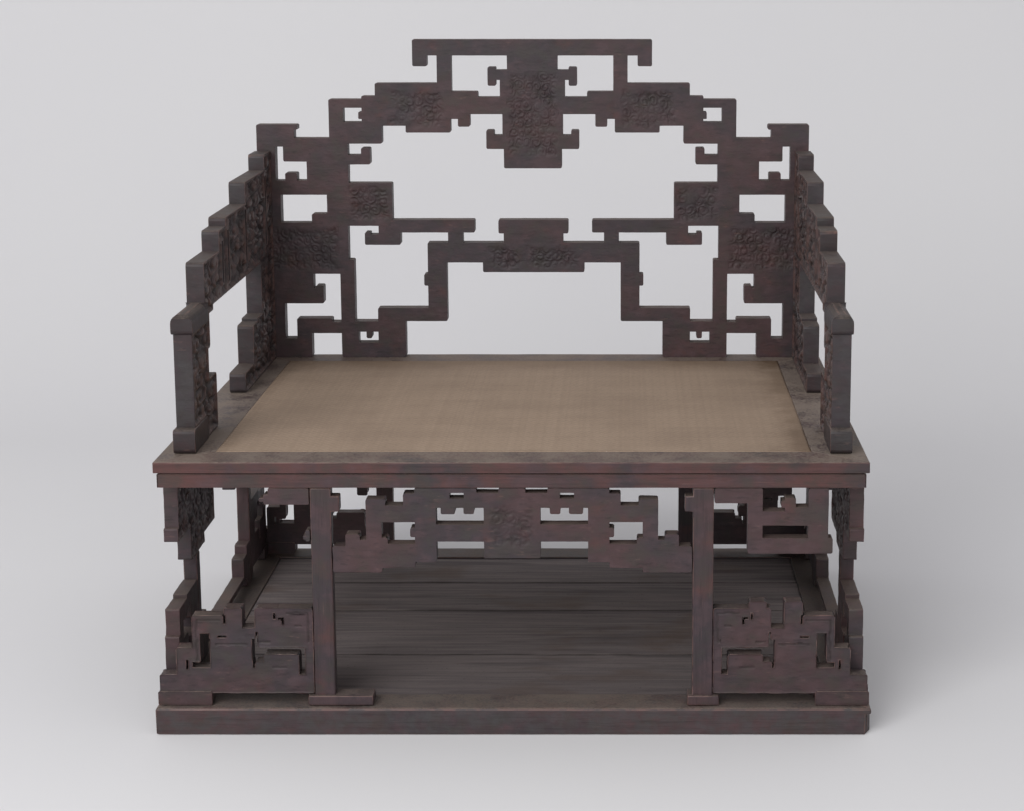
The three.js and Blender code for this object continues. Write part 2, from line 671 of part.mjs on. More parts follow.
function sideOuterFret(side, end) {
  const scaleU = (sideFretEnd - sideFretStart) / OUTER_LENGTH;
  const fret = new Fret(scaleU, lowerScale, SKIRT_THICKNESS);
  fret.bar(0, OUTER_LENGTH, LOWER_LIFT, 60);
  fret.bar(110, OUTER_LENGTH, 0, LOWER_LIFT + FOOT_OVERLAP, FOOT_PROUD);
  fret.bar(0, 30, 59, 164);
  fret.bar(29, 88, 140, 164);
  fret.bar(87, 120, 126, 157);
  fret.bar(119, 147, 59, 157);
  fret.bar(146, OUTER_LENGTH, 59, 111);
  fret.bar(29, 60, 110, 141);
  fret.bar(29, 70, 59, 85);
  fret.bar(84, 120, 59, 96);
  const solid = handed(standAlongY(fret.solid()), side, -end);
  return solid.translate([side * sideX, end * sideFretStart, postFoot]);
}

function sideMiddleFret(side) {
  const half = sidePostPlace - SIDE_POST_WIDTH / 2 - GAP;
  const fret = new Fret(half / MIDDLE_HALF, lowerScale, SKIRT_THICKNESS);
  fret.bar(-MIDDLE_HALF, MIDDLE_HALF, 18, 31);
  fret.pair(190, MIDDLE_HALF, 0, 19);
  const steps = [[160, 69], [195, 87]];
  for (const [start, height] of steps) {
    fret.pair(start, MIDDLE_HALF, 30, height);
  }
  return standAlongY(fret.solid()).translate([side * sideX, 0, postFoot]);
}

for (const [sideName, side] of [['left', -1], ['right', 1]]) {
  for (const [endName, end] of [['front', -1], ['rear', 1]]) {
    addPiece(`bracket_${sideName}_${endName}`, sideBracket(side, end), darkWood);
    addPiece(`side_fret_${sideName}_${endName}`, sideOuterFret(side, end), darkWood);
  }
  addPiece(`side_fret_${sideName}_middle`, sideMiddleFret(side), darkWood);
}

export default throne;
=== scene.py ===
import math
import random

import bmesh
import bpy
from mathutils import Matrix, Vector, kdtree, noise


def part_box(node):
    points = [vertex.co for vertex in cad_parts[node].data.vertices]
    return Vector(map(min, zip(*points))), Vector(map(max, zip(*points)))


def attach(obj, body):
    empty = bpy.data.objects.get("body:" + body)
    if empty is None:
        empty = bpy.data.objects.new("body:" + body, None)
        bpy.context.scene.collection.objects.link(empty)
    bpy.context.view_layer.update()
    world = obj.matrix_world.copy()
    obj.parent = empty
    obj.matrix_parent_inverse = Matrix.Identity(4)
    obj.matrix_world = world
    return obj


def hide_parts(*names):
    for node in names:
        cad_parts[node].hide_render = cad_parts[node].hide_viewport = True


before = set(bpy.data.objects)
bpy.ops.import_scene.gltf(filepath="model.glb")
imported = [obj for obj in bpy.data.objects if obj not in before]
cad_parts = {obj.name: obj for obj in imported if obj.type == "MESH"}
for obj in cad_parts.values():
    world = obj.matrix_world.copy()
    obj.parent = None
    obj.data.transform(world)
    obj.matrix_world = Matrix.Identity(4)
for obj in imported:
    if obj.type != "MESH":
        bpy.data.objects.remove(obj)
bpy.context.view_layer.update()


# Base frame
# Four mitred rails of dark hardwood lie on the floor, with a rebate inside for the deck boards. Their edges
# are rounded by wear, dust with painted sheen lies on the top, and the front right corner has lost a chip.
MM = 0.001
# These two directions are frozen, so that finishes can be kept by the way a rail runs.
RIGHT = Vector((1, 0, 0)).freeze()
REAR = Vector((0, 1, 0)).freeze()
RAIL_RUNS = [("front", RIGHT), ("rear", RIGHT), ("left", REAR), ("right", REAR)]
WELD = 0.02 * MM
CUT_WELD = 0.01 * MM
FLAT_ANGLE = math.radians(1)
SHARP_ANGLE = 0.7
BASE_EASE = 2.2 * MM
BASE_SPACING = 22 * MM
BASE_WORN = 1.1 * MM
BASE_WEAR_TURNS = 24


class Value:
    """A value in a finish. Sums on values add Math nodes, and node() adds any other node."""

    def __init__(self, tree, socket=None):
        self.tree = tree
        self.socket = socket

    def node(self, kind, settings=None, sockets=None, output=0):
        made = self.tree.nodes.new("ShaderNode" + kind)
        for name, setting in (settings or {}).items():
            setattr(made, name, setting)
        for name, value in (sockets or {}).items():
            if isinstance(value, Value):
                self.tree.links.new(value.socket, made.inputs[name])
            else:
                made.inputs[name].default_value = value
        return Value(self.tree, made.outputs[output] if made.outputs else None)

    def math(self, operation, first, second):
        return self.node("Math", {"operation": operation}, {0: first, 1: second})

    def __add__(self, other):
        return self.math("ADD", self, other)

    def __sub__(self, other):
        return self.math("SUBTRACT", self, other)

    def __rsub__(self, other):
        return self.math("SUBTRACT", other, self)

    def __mul__(self, other):
        return self.math("MULTIPLY", self, other)

    __radd__ = __add__
    __rmul__ = __mul__


def paint(red, green, blue):
    """A colour from its 0 to 255 screen values."""
    shares = [channel / 255 for channel in (red, green, blue)]
    return (*[s / 12.92 if s <= 0.04045 else ((s + 0.055) / 1.055) ** 2.4 for s in shares], 1)


def rise(value, low, high):
    """0 where value is below low and 1 where it is above high, with a soft change between."""
    ends = {"Value": value, "From Min": low, "From Max": high}
    return value.node("MapRange", {"interpolation_type": "SMOOTHSTEP"}, ends)


def tint(factor, first, second):
    """From the first colour to the second as factor goes from 0 to 1."""
    return factor.node("Mix", {"data_type": "RGBA"}, {0: factor, 6: first, 7: second}, output=2)


def grain(place, stretch, detail=4.0):
    """Streaks or blotches: noise with that many turns to a metre along each axis."""
    turned = place.node("Mapping", {}, {"Vector": place, "Scale": stretch})
    return place.node("TexNoise", {}, {"Vector": turned, "Scale": 1.0, "Detail": detail, "Roughness": 0.6})


def start_finish(name):
    """An empty finish, and the value that its nodes are added from."""
    finish = bpy.data.materials.new(name)
    finish.use_nodes = True
    finish.node_tree.nodes.clear()
    return finish, Value(finish.node_tree)


def close_finish(start, colour, roughness, height, depth, shine=0.3):
    """Joins colour, roughness and surface height to the finish's surface. depth is in metres."""
    bump = start.node("Bump", {}, {"Strength": 1.0, "Distance": depth, "Height": height})
    surface = start.node("BsdfPrincipled", {}, {"Base Color": colour, "Roughness": roughness,
                                                "Specular IOR Level": shine, "Normal": bump})
    start.node("OutputMaterial", {}, {"Surface": surface})


def dark_wood(name, along, warmth, dust_and_sheen_level=0.5, soot=0.0, age=0.0):
    """Waxed hardwood, purple-brown, with redder rubbed places that on carved ridges hold painted highlight,
    dark pores, dirt and painted shade in its hollows, and dust with painted sheen on faces that look up.

    along is the grain, in turns to a metre. warmth adds red, soot darkens and age greys the wood.
    """
    finish, start = start_finish(name)
    place = start.node("TexCoord", output="Object")
    streaks = grain(place, along)
    pores = grain(place, tuple(3 * turns for turns in along), 2.0)
    patches = grain(place, (5, 6, 7), 3.0)
    blotches = grain(place, (14, 14, 17), 4.0)
    dapple = grain(place, (24, 24, 30), 4.0)
    scuffs = grain(place, tuple(1.6 * turns for turns in along), 3.0)
    clouds = grain(place, (45, 45, 52), 3.0)
    specks = grain(place, (260, 260, 280), 2.0)
    # rub holds worn edges and, on carved ridges, painted highlight; hollow holds dirt and painted shade in
    # recesses.
    rubbed = start.node("Attribute", {"attribute_name": "rub"}, output="Fac")
    hollow = start.node("Attribute", {"attribute_name": "hollow"}, output="Fac")
    normal = start.node("NewGeometry", output="Normal")
    upward = start.node("SeparateXYZ", {}, {0: normal}, output="Z")
    colour = tint(rise(patches, 0.36, 0.62), WOOD_COLD, WOOD_MIDDLE)
    colour = tint(rise(blotches, 0.54 - warmth, 0.8 - warmth) * 0.6, colour, WOOD_RED)
    colour = tint(rise(dapple, 0.5, 0.66) * 0.4, colour, WOOD_PINK)
    colour = tint(rise(dapple, 0.54, 0.34) * 0.45, colour, WOOD_GREEN)
    colour = tint(rise(clouds, 0.7, 0.3) * age, colour, WOOD_GREY)
    colour = tint(rise(streaks, 0.45, 0.75) * 0.35, colour, WOOD_PORE)
    colour = tint(rise(pores, 0.58, 0.72) * 0.35, colour, WOOD_PORE)
    colour = tint(rise(patches, 0.2, 0.7) * soot, colour, WOOD_PORE)
    # Painted shade and dirt, strongest in hollows and recesses.
    colour = tint(hollow * 0.6, colour, WOOD_DIRT_AND_SHADE)
    # Rubbed edges and scuffs are lighter and redder; on carved ridges this is painted highlight as well.
    edge = rubbed * rise(clouds, 0.3, 0.6)
    colour = tint(edge * 0.6 + rise(scuffs, 0.64, 0.76) * 0.22, colour, WOOD_RUBBED_AND_HIGHLIT)
    # Faces that look up are greyer and paler: dust and painted sheen.
    dust = rise(upward, 0.45, 0.9) * rise(blotches * 0.5 + specks * 0.5, 0.32, 0.6)
    colour = tint(dust * dust_and_sheen_level, colour, WOOD_DUST_AND_SHEEN)
    roughness = 0.5 + dust * 0.25 + hollow * 0.25 - edge * 0.12 + (blotches - 0.5) * 0.3
    height = streaks * 0.4 + pores * 0.25 + clouds * 0.9
    close_finish(start, colour, roughness, height, WOOD_HEIGHT)
    return finish


WOOD_COLD = paint(54, 46, 50)
WOOD_MIDDLE = paint(67, 49, 50)
WOOD_RED = paint(88, 53, 48)
WOOD_PINK = paint(78, 59, 62)
WOOD_GREEN = paint(55, 53, 47)
WOOD_GREY = paint(63, 61, 62)
WOOD_PORE = paint(30, 25, 26)
WOOD_DIRT_AND_SHADE = paint(30, 26, 23)
WOOD_RUBBED_AND_HIGHLIT = paint(122, 92, 84)
WOOD_DUST_AND_SHEEN = paint(118, 106, 97)
WOOD_HEIGHT = 0.8 * MM
LEVEL_GRAIN = (7, 50, 200)
DEEP_GRAIN = (50, 7, 200)
base_wood = {
    RIGHT: dark_wood("dark wood, base from side to side", LEVEL_GRAIN, -0.06, dust_and_sheen_level=0.6, age=0.7),
    REAR: dark_wood("dark wood, base from front to back", DEEP_GRAIN, -0.06, dust_and_sheen_level=0.6, age=0.7),
}


def copy_of(node):
    """A frame node's mesh to work on, with its loose triangles joined and its flat faces whole."""
    bm = bmesh.new()
    bm.from_mesh(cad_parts[node].data)
    bmesh.ops.remove_doubles(bm, verts=bm.verts, dist=WELD)
    bmesh.ops.dissolve_limit(bm, angle_limit=FLAT_ANGLE, verts=bm.verts, edges=bm.edges)
    bm.verts.layers.float.new("rub")
    bm.verts.layers.float.new("hollow")
    return bm


def ease(bm, edges, width, segments=2):
    """Rounds edges. The line along the middle of each rounding is marked as rubbed."""
    rounded = bmesh.ops.bevel(bm, geom=edges, offset=width, offset_type="OFFSET", segments=segments,
                              profile=0.5, affect="EDGES", clamp_overlap=True, material=-1)
    faces = set(rounded["faces"])
    rub = bm.verts.layers.float["rub"]
    for face in faces:
        face.smooth = True
    for vert in rounded["verts"]:
        if all(face in faces for face in vert.link_faces):
            vert[rub] = 1


def sharp_edges(bm, angle=SHARP_ANGLE):
    """The edges that stand out at more than an angle."""
    return [edge for edge in bm.edges if edge.is_manifold and edge.calc_face_angle_signed() > angle]


def cut_across(bm, axis, spacing):
    """Cuts a piece at even steps along an axis, so that its faces can be made uneven."""
    places = [vert.co.dot(axis) for vert in bm.verts]
    low, high = min(places), max(places)
    count = int((high - low) / spacing)
    for step in range(1, count):
        place = axis * (low + (high - low) * step / count)
        everything = bm.verts[:] + bm.edges[:] + bm.faces[:]
        bmesh.ops.bisect_plane(bm, geom=everything, plane_co=place, plane_no=axis, dist=CUT_WELD)


def wear_down(bm, depth, turns):
    """Takes the surface back by up to that depth, unevenly."""
    bm.normal_update()
    for vert in bm.verts:
        worn = 0.5 + 0.5 * noise.noise(vert.co * turns)
        vert.co -= vert.normal * (depth * max(0.0, worn))


def add_piece(bm, name, finish, slot, *nodes):
    """Makes a finished piece of a mesh. It stands for those nodes of the frame."""
    mesh = bpy.data.meshes.new(name)
    bm.to_mesh(mesh)
    bm.free()
    mesh.materials.append(finish)
    piece = bpy.data.objects.new(name, mesh)
    bpy.context.scene.collection.objects.link(piece)
    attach(piece, "root")
    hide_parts(*nodes)


def worn_stick(name, node, axis, finish, easing, spacing, worn, turns):
    """A rail or a post that runs along an axis, with eased edges and unevenly worn faces."""
    bm = copy_of(node)
    ease(bm, sharp_edges(bm), easing)
    cut_across(bm, axis, spacing)
    wear_down(bm, worn, turns)
    add_piece(bm, name, finish, "dark_wood", node)


for side, axis in RAIL_RUNS:
    worn_stick(f"worn_base_rail_{side}", f"base_rail_{side}", axis, base_wood[axis],
               BASE_EASE, BASE_SPACING, BASE_WORN, BASE_WEAR_TURNS)


# Deck boards
# Four sawn softwood boards lie in the rebate of the base frame, from side to side. The wood is bare, grey
# with age, its grain raised and its edges worn, so that the seams between the boards are wide in places.
DECK_STEP = (6 * MM, 3 * MM)
DECK_EDGE = 2.5 * MM
DECK_GRAIN = 0.7 * MM
DECK_HOLLOW = 0.6 * MM
DECK_CHECK = 3 * MM
DECK_SEAM = 5 * MM
DECK_HEIGHT = 0.6 * MM
DECK_SEED_STEP = 3.7
DECK_LIGHT = paint(134, 124, 122)
DECK_MIDDLE = paint(114, 106, 106)
DECK_DARK = paint(78, 72, 73)
DECK_SHADE = paint(62, 55, 56)
DECK_WARM = paint(108, 90, 78)


def deck_finish():
    """Bare weathered board: grey-brown streaks, dark damp places and some warmer wood, and painted shade
    that darkens the boards towards the front.
    """
    finish, start = start_finish("weathered board")
    place = start.node("TexCoord", output="Object")
    streaks = grain(place, (5, 130, 40), 5.0)
    bands = grain(place, (3, 28, 20), 3.0)
    damp = grain(place, (5, 9, 9), 3.0)
    specks = grain(place, (150, 210, 150), 2.0)
    hollow = start.node("Attribute", {"attribute_name": "hollow"}, output="Fac")
    y = start.node("SeparateXYZ", {}, {0: place}, output="Y")
    colour = tint(rise(streaks, 0.35, 0.65), DECK_MIDDLE, DECK_LIGHT)
    colour = tint(rise(bands, 0.5, 0.72) * 0.6, colour, DECK_DARK)
    colour = tint(rise(damp, 0.55, 0.72) * 0.5, colour, DECK_WARM)
    colour = tint(rise(specks, 0.62, 0.75) * 0.5, colour, DECK_DARK)
    # Painted shade: the boards grow darker towards the front.
    colour = tint(rise(0 - y + damp * 0.1, 0.1, 0.42) * 0.55, colour, DECK_SHADE)
    # Dirt and painted shade in the seams between boards and on their undersides.
    colour = tint(hollow, colour, WOOD_DIRT_AND_SHADE)
    height = streaks + specks * 0.5
    close_finish(start, colour, 0.78 + streaks * 0.12, height, DECK_HEIGHT, 0.2)
    return finish


weathered_board = deck_finish()


def fine_top(low, high, steps):
    """The top of a box as a grid with that many squares along and across."""
    size = high - low
    centre = Matrix.Translation(((low.x + high.x) / 2, (low.y + high.y) / 2, high.z))
    bm = bmesh.new()
    bmesh.ops.create_grid(bm, x_segments=steps[0], y_segments=steps[1], size=0.5,
                          matrix=centre @ Matrix.Diagonal((size.x, size.y, 1, 1)))
    for face in bm.faces:
        face.smooth = True
    return bm


def close_below(bm, bottom):
    """Gives a top its upright sides and its flat underside."""
    rim = [edge for edge in bm.edges if edge.is_boundary]
    for part in bmesh.ops.extrude_edge_only(bm, edges=rim)["geom"]:
        if isinstance(part, bmesh.types.BMVert):
            part.co.z = bottom
    bmesh.ops.holes_fill(bm, edges=[edge for edge in bm.edges if edge.is_boundary], sides=0)
    bmesh.ops.recalc_face_normals(bm, faces=bm.faces)


def deck_board(node, seed):
    """A board with raised grain, shallow hollows, drying cracks and ragged edges."""
    low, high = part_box(node)
    size = high - low
    bm = fine_top(low, high, [max(2, round(size.x / DECK_STEP[0])), max(2, round(size.y / DECK_STEP[1]))])
    close_below(bm, low.z)
    hollow = bm.verts.layers.float.new("hollow")
    for vert in bm.verts:
        # The underside gets full painted shade.
        if vert.co.z < low.z + MM:
            vert[hollow] = 1
            continue
        x, y = vert.co.x, vert.co.y
        lines = noise.fractal(Vector((x * 4, y * 110, seed)), 1.0, 2.0, 4)
        hollows = noise.noise(Vector((x * 6, y * 14, seed + 9)))
        border = min(y - low.y, high.y - y)
        ragged = DECK_EDGE * (0.4 + 0.6 * abs(noise.noise(Vector((x * 11, seed, 3)))))
        rounding = ragged * max(0.0, 1 - border / (2.2 * ragged)) ** 2
        check = DECK_CHECK * max(0.0, noise.noise(Vector((x * 1.5, y * 60, seed + 4))) - 0.5)
        seam = DECK_SEAM * (0.6 + 0.8 * abs(noise.noise(Vector((x * 20, seed, 7)))))
        # Painted shade and dirt darken the board near its seams.
        vert[hollow] = max(0.0, 1 - border / seam)
        worn = DECK_GRAIN * (0.5 + 0.5 * lines) + DECK_HOLLOW * (0.5 + 0.5 * hollows)
        vert.co.z -= worn + rounding + check
    return bm


for number in (1, 2, 3, 4):
    board = deck_board(f"deck_board_{number}", number * DECK_SEED_STEP)
    add_piece(board, f"weathered_deck_board_{number}", weathered_board, "deck_wood", f"deck_board_{number}")


# Posts
# Eight square hardwood posts stand between the base and the seat: a pair at the front and the rear with
# block feet, and a pair on each side. Each is one stick, tenoned in at both ends, its edges worn round.
UP = Vector((0, 0, 1))
UPRIGHT_GRAIN = (150, 150, 7)
POST_EASE = 2.4 * MM
POST_SPACING = 16 * MM
POST_WORN = 1.2 * MM
POST_WEAR_TURNS = 38
upright_wood = dark_wood("dark wood, upright grain", UPRIGHT_GRAIN, 0.02)
for place in ["front_left", "front_right", "rear_left", "rear_right",
              "left_front", "left_rear", "right_front", "right_rear"]:
    worn_stick(f"worn_post_{place}", f"post_{place}", UP, upright_wood,
               POST_EASE, POST_SPACING, POST_WORN, POST_WEAR_TURNS)


# Frets below the seat
# Stepped key frets of hardwood, sawn out and carved: the aprons and brackets hang from the seat frame, the
# lower frets stand on the base. Bars have rounded corners, and low worn curls cover their tablets.
FRONT = Vector((0, -1, 0))
LEFT = Vector((-1, 0, 0))
CARVED_GRAIN = (20, 50, 80)
FIELD_DEPTH = 3 * MM
FACE_STEP = 2 * MM
CARVING_STEP = 1.6 * MM
CARVING_DEPTH = 2.4 * MM
CARVING_FADE = 16 * MM
CARVING_RAGGED = 7 * MM
CORNER_RADIUS = 3.4 * MM
SHORT_CORNER = 2 * MM
FRET_EASE = 1.4 * MM
RIM_ANGLE = 0.9
CURL_SPACING = 19 * MM
CURL_PITCH = 8.5 * MM
CURL_SHIFT = 0.16
CURL_JITTER = 0.21
CURL_SWAY = 4 * MM
CURL_SWAY_TURNS = 45
TABLET_RIM = 5 * MM
WEAR_SPACING = 12 * MM
WEAR_TURNS = 60
fret_wood = dark_wood("dark wood, carved", CARVED_GRAIN, 0.0)


def soft_step(value, low, high):
    """0 below low and 1 above high, with a soft change between."""
    share = min(1.0, max(0.0, (value - low) / (high - low)))
    return share * share * (3 - 2 * share)


class Curls:
    """A carved ground of curls. They stand in rows, set out by eye, alike on both sides of the middle."""

    def __init__(self, width, height, spacing, pitch, seed):
        rng = random.Random(seed)
        rows = max(1, round(height / spacing))
        columns = max(1, round(width / 2 / spacing))
        self.pitch = pitch
        self.hands = []
        self.turns = []
        places = []
        for row in range(rows):
            for column in range(columns):
                shift = 0.5 if row % 2 else 0.25
                across = (column + shift) * width / 2 / columns
                across += rng.uniform(-CURL_SHIFT, CURL_SHIFT) * spacing
                up = (row + 0.5) * height / rows - height / 2
                up += rng.uniform(-CURL_SHIFT, CURL_SHIFT) * spacing
                for side in (1, -1):
                    shake = [rng.uniform(-CURL_JITTER, CURL_JITTER) * spacing for _ in (0, 1)]
                    places.append((side * across + shake[0], up + shake[1], 0))
                    self.hands.append(1 if (row + column) % 2 else -1)
                    self.turns.append(rng.uniform(0, math.tau))
        self.tree = kdtree.KDTree(len(places))
        for number, place in enumerate(places):
            self.tree.insert(place, number)
        self.tree.balance()

    def depth(self, across, up):
        """How deep the carver went, from 0 on top of a curl to 1 between them."""
        sway = Vector((across, up, 0)) * CURL_SWAY_TURNS
        point = Vector((across + CURL_SWAY * noise.noise(sway), up + CURL_SWAY * noise.noise(sway.yxz), 0))
        (near, number, reach), (_, _, second) = self.tree.find_n(point, 2)
        side = 1 if near.x > 0 else -1
        angle = math.atan2((point.y - near.y) * self.hands[number], (point.x - near.x) * side)
        angle += self.turns[number]
        ridge = 0.5 + 0.5 * math.cos(math.tau * (reach / self.pitch - angle / math.tau))
        eye = 1 - soft_step(reach, 0.2 * self.pitch, 0.5 * self.pitch)
        valley = soft_step(second - reach, 0, 0.5 * self.pitch)
        return 1 - max(soft_step(ridge, 0.1, 0.75), eye) * valley * (0.8 + 0.2 * noise.noise(sway * 0.5))


def level_of(face, outward):
    """How far out a face lies."""
    return face.calc_center_median().dot(outward)


def shown_level(bm, outward):
    """How far out the piece's shown face lies: the level with the most area that looks outward."""
    areas = {}
    for face in bm.faces:
        if face.normal.dot(outward) > 0.99:
            level = round(level_of(face, outward), 5)
            areas[level] = areas.get(level, 0) + face.calc_area()
    return max(areas, key=areas.get)


def is_at(face, outward, level):
    """Whether a face looks outward at that level."""
    return face.normal.dot(outward) > 0.99 and abs(level_of(face, outward) - level) < 0.1 * MM


def plug_fields(bm, outward):
    """Closes each plain sunk field flush with the face. Gives the fields' sides and heights."""
    bm.normal_update()
    across = UP.cross(outward)
    shown = shown_level(bm, outward)
    floors = [face for face in bm.faces if is_at(face, outward, shown - FIELD_DEPTH)]
    fields, taken = [], set()
    for floor in floors:
        if floor in taken:
            continue
        found, waiting = {floor}, [floor]
        while waiting:
            for edge in waiting.pop().edges:
                for face in edge.link_faces:
                    if face not in found and not is_at(face, outward, shown):
                        found.add(face)
                        waiting.append(face)
        taken |= found
        fields.append({vert for face in found for vert in face.verts
                       if abs(vert.co.dot(outward) - shown) < CUT_WELD})
    bmesh.ops.delete(bm, geom=list(taken), context="FACES")
    areas = []
    for corners in fields:
        middle = sum((vert.co for vert in corners), Vector()) / len(corners)
        angles = {vert: math.atan2(vert.co.z - middle.z, (vert.co - middle).dot(across))
                  for vert in corners}
        bm.faces.new(sorted(corners, key=angles.get))
        spans = [[vert.co.dot(axis) for vert in corners] for axis in (across, UP)]
        areas.append([[min(span), max(span)] for span in spans])
    bmesh.ops.recalc_face_normals(bm, faces=bm.faces)
    bmesh.ops.dissolve_limit(bm, angle_limit=FLAT_ANGLE, verts=bm.verts, edges=bm.edges)
    return sorted(areas)


def lay_grid(bm, outward, step, area=None):
    """Cuts the shown face, or an area of it, into small squares.

    Gives the vertices inside the outline and those on it.
    """
    shown = shown_level(bm, outward)
    faces = {face for face in bm.faces if is_at(face, outward, shown)}
    for number, axis in enumerate((UP.cross(outward), UP)):
        spans = {face: [vert.co.dot(axis) for vert in face.verts] for face in faces}
        low, high = area[number] if area else (min(map(min, spans.values())), max(map(max, spans.values())))
        faces = {face for face, span in spans.items() if max(span) > low and min(span) < high}
        count = round((high - low) / step)
        beyond = list(faces)
        for line in range(count + 1):
            place = low + (high - low) * line / count
            verts = {vert for face in beyond for vert in face.verts}
            edges = {edge for face in beyond for edge in face.edges}
            parts = bmesh.ops.bisect_plane(bm, geom=[*verts, *edges, *beyond], plane_co=axis * place,
                                           plane_no=axis, dist=WELD)["geom"]
            parts = [part for part in parts if isinstance(part, bmesh.types.BMFace)]
            faces.update(parts)
            beyond = [face for face in parts if face.calc_center_median().dot(axis) > place]
        faces = {face for face in faces if low < face.calc_center_median().dot(axis) < high}
    for face in faces:
        face.smooth = True
    verts = {vert for face in faces for vert in face.verts}
    outline = {vert for vert in verts if any(face not in faces for face in vert.link_faces)}
    return verts - outline, outline


def carve_face(bm, outward, depth_at, step=FACE_STEP, area=None):
    """Takes the shown face back by depth_at(across, up, distance from the outline).

    That also gives how much darker the place is painted, for dirt and painted shade; below 0, how much
    lighter, for rubbing and painted highlight.
    """
    inner, outline = lay_grid(bm, outward, step, area)
    tree = kdtree.KDTree(len(outline))
    for number, vert in enumerate(outline):
        tree.insert(vert.co, number)
    tree.balance()
    across = UP.cross(outward)
    hollow = bm.verts.layers.float["hollow"]
    rub = bm.verts.layers.float["rub"]
    for vert in inner:
        border = tree.find(vert.co)[2]
        depth, dirt = depth_at(vert.co.dot(across), vert.co.z, border)
        vert.co -= outward * depth
        # Positive values paint dirt and painted shade, negative ones rubbing and painted highlight.
        vert[hollow] = max(0, dirt)
        vert[rub] = max(0, -dirt)


def tablet(area, seed):
    """Low curls and pits over an area, rubbed away in places and fading into the plain wood round it."""
    (left, right), (foot, top) = area
    curls = Curls(right - left, top - foot, CURL_SPACING, CURL_PITCH, seed)

    def depth_at(across, up, border):
        spot = Vector((across, up, seed))
        fade = soft_step(border + CARVING_RAGGED * noise.noise(spot * 45), 0, CARVING_FADE)
        pits = 1 - min(1.0, 2.5 * abs(noise.noise(spot * 75)))
        depth = 0.7 * curls.depth(across - (left + right) / 2, up - (foot + top) / 2) + 0.4 * pits
        depth *= fade * max(0.15, 0.75 + 1.1 * noise.noise(spot * 26))
        # Deeper carving is painted darker: dirt and painted shade.
        return CARVING_DEPTH * depth, depth * 0.45

    return depth_at


def round_corners(bm, outward, radius):
    """Rounds the corners that the bars show from the front. A short bar end gets a smaller radius."""
    long_ends, short_ends = [], []
    for edge in bm.edges:
        a, b = [vert.co for vert in edge.verts]
        if not edge.is_manifold or abs((a - b).normalized().dot(outward)) < 0.99:
            continue
        if edge.calc_face_angle_signed() < 1:
            continue
        room = min(face.calc_area() / edge.calc_length() for face in edge.link_faces)
        (long_ends if room > 2.1 * radius else short_ends).append(edge)
    ease(bm, long_ends, radius, 3)
    ease(bm, [edge for edge in short_ends if edge.is_valid], SHORT_CORNER)


def fret_rims(bm, outward):
    """The edges all round the front and the back of a fret's bars."""
    return [edge for edge in sharp_edges(bm, RIM_ANGLE)
            if abs((edge.verts[0].co - edge.verts[1].co).normalized().dot(outward)) < 0.5]


def carved_fret(node, outward, seed, worn, more=(), tablets=None):
    """A fret of the frame with finer carving, rounded corners, eased rims and worn faces.

    more lists other faces to carve, and tablets the areas of curls that differ from the sunk fields.
    """
    bm = copy_of(node)
    fields = plug_fields(bm, outward)
    grown = [[(low - TABLET_RIM, high + TABLET_RIM) for low, high in field] for field in fields]
    round_corners(bm, outward, CORNER_RADIUS)
    ease(bm, fret_rims(bm, outward), FRET_EASE)
    for axis in (UP.cross(outward), UP):
        cut_across(bm, axis, WEAR_SPACING)
    for number, area in enumerate(tablets or grown):
        carve_face(bm, outward, tablet(area, seed + number), CARVING_STEP, area)
    for facing, depth_at in more:
        carve_face(bm, facing, depth_at)
    wear_down(bm, worn, WEAR_TURNS)
    add_piece(bm, f"carved_{node}", fret_wood, "dark_wood", node)


# Each line runs between two points of the lower frets, in mm out from the post and up from the base.
LOWER_LINES = [[(47, 66), (70, 66)], [(158, 150), (199, 150)], [(199, 150), (199, 75)],
               [(112, 108), (165, 108)], [(8, 163), (44, 163)], [(8, 163), (8, 112)],
               [(20, 140), (30, 140)], [(74, 112), (90, 112)]]
LINE_WIDTH = 3 * MM
LINE_DEPTH = 2 * MM
LINE_SWAY = 2 * MM
WEAR_DEPTH = 0.9 * MM
PIT_DEPTH = 0.7 * MM
FRET_WORN = 1.5 * MM
BRACKET_SPACING = 24 * MM
BRACKET_PITCH = 10 * MM
BRACKET_DEPTH = 5 * MM
BRACKET_MARGIN = 9 * MM
RELIEF_BORDER = 0.5 * MM


def line_distance(point, start, end):
    """How far a point is from the line between two others."""
    run = end - start
    share = min(1.0, max(0.0, (point - start).dot(run) / run.length_squared))
    return (point - start - run * share).length


def lower_fret_wear(node):
    """Shallow lines cut in the face of a lower fret, and the uneven surface left by wear."""
    low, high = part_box(node)
    near = min(abs(low.x), abs(high.x))
    lines = [[Vector((near + u * MM, low.z + v * MM)) for u, v in line] for line in LOWER_LINES]

    def depth_at(across, up, border):
        point = Vector((abs(across), up))
        spot = Vector((across, up, 0))
        worn = WEAR_DEPTH * (0.5 + 0.5 * noise.noise(spot * 42))
        worn += PIT_DEPTH * max(0, noise.noise(spot * 120) - 0.3)
        point += Vector((noise.noise(spot * 70), noise.noise(spot * 75))) * LINE_SWAY
        nearest = min(line_distance(point, *line) for line in lines)
        line = 1 - soft_step(nearest, 0.2 * LINE_WIDTH, 0.6 * LINE_WIDTH)
        depth = worn * soft_step(border, 0, 4 * MM) + line * LINE_DEPTH * soft_step(border, 0, MM)
        # The cut lines are painted dark: dirt and painted shade.
        return depth, line * 0.8

    return depth_at


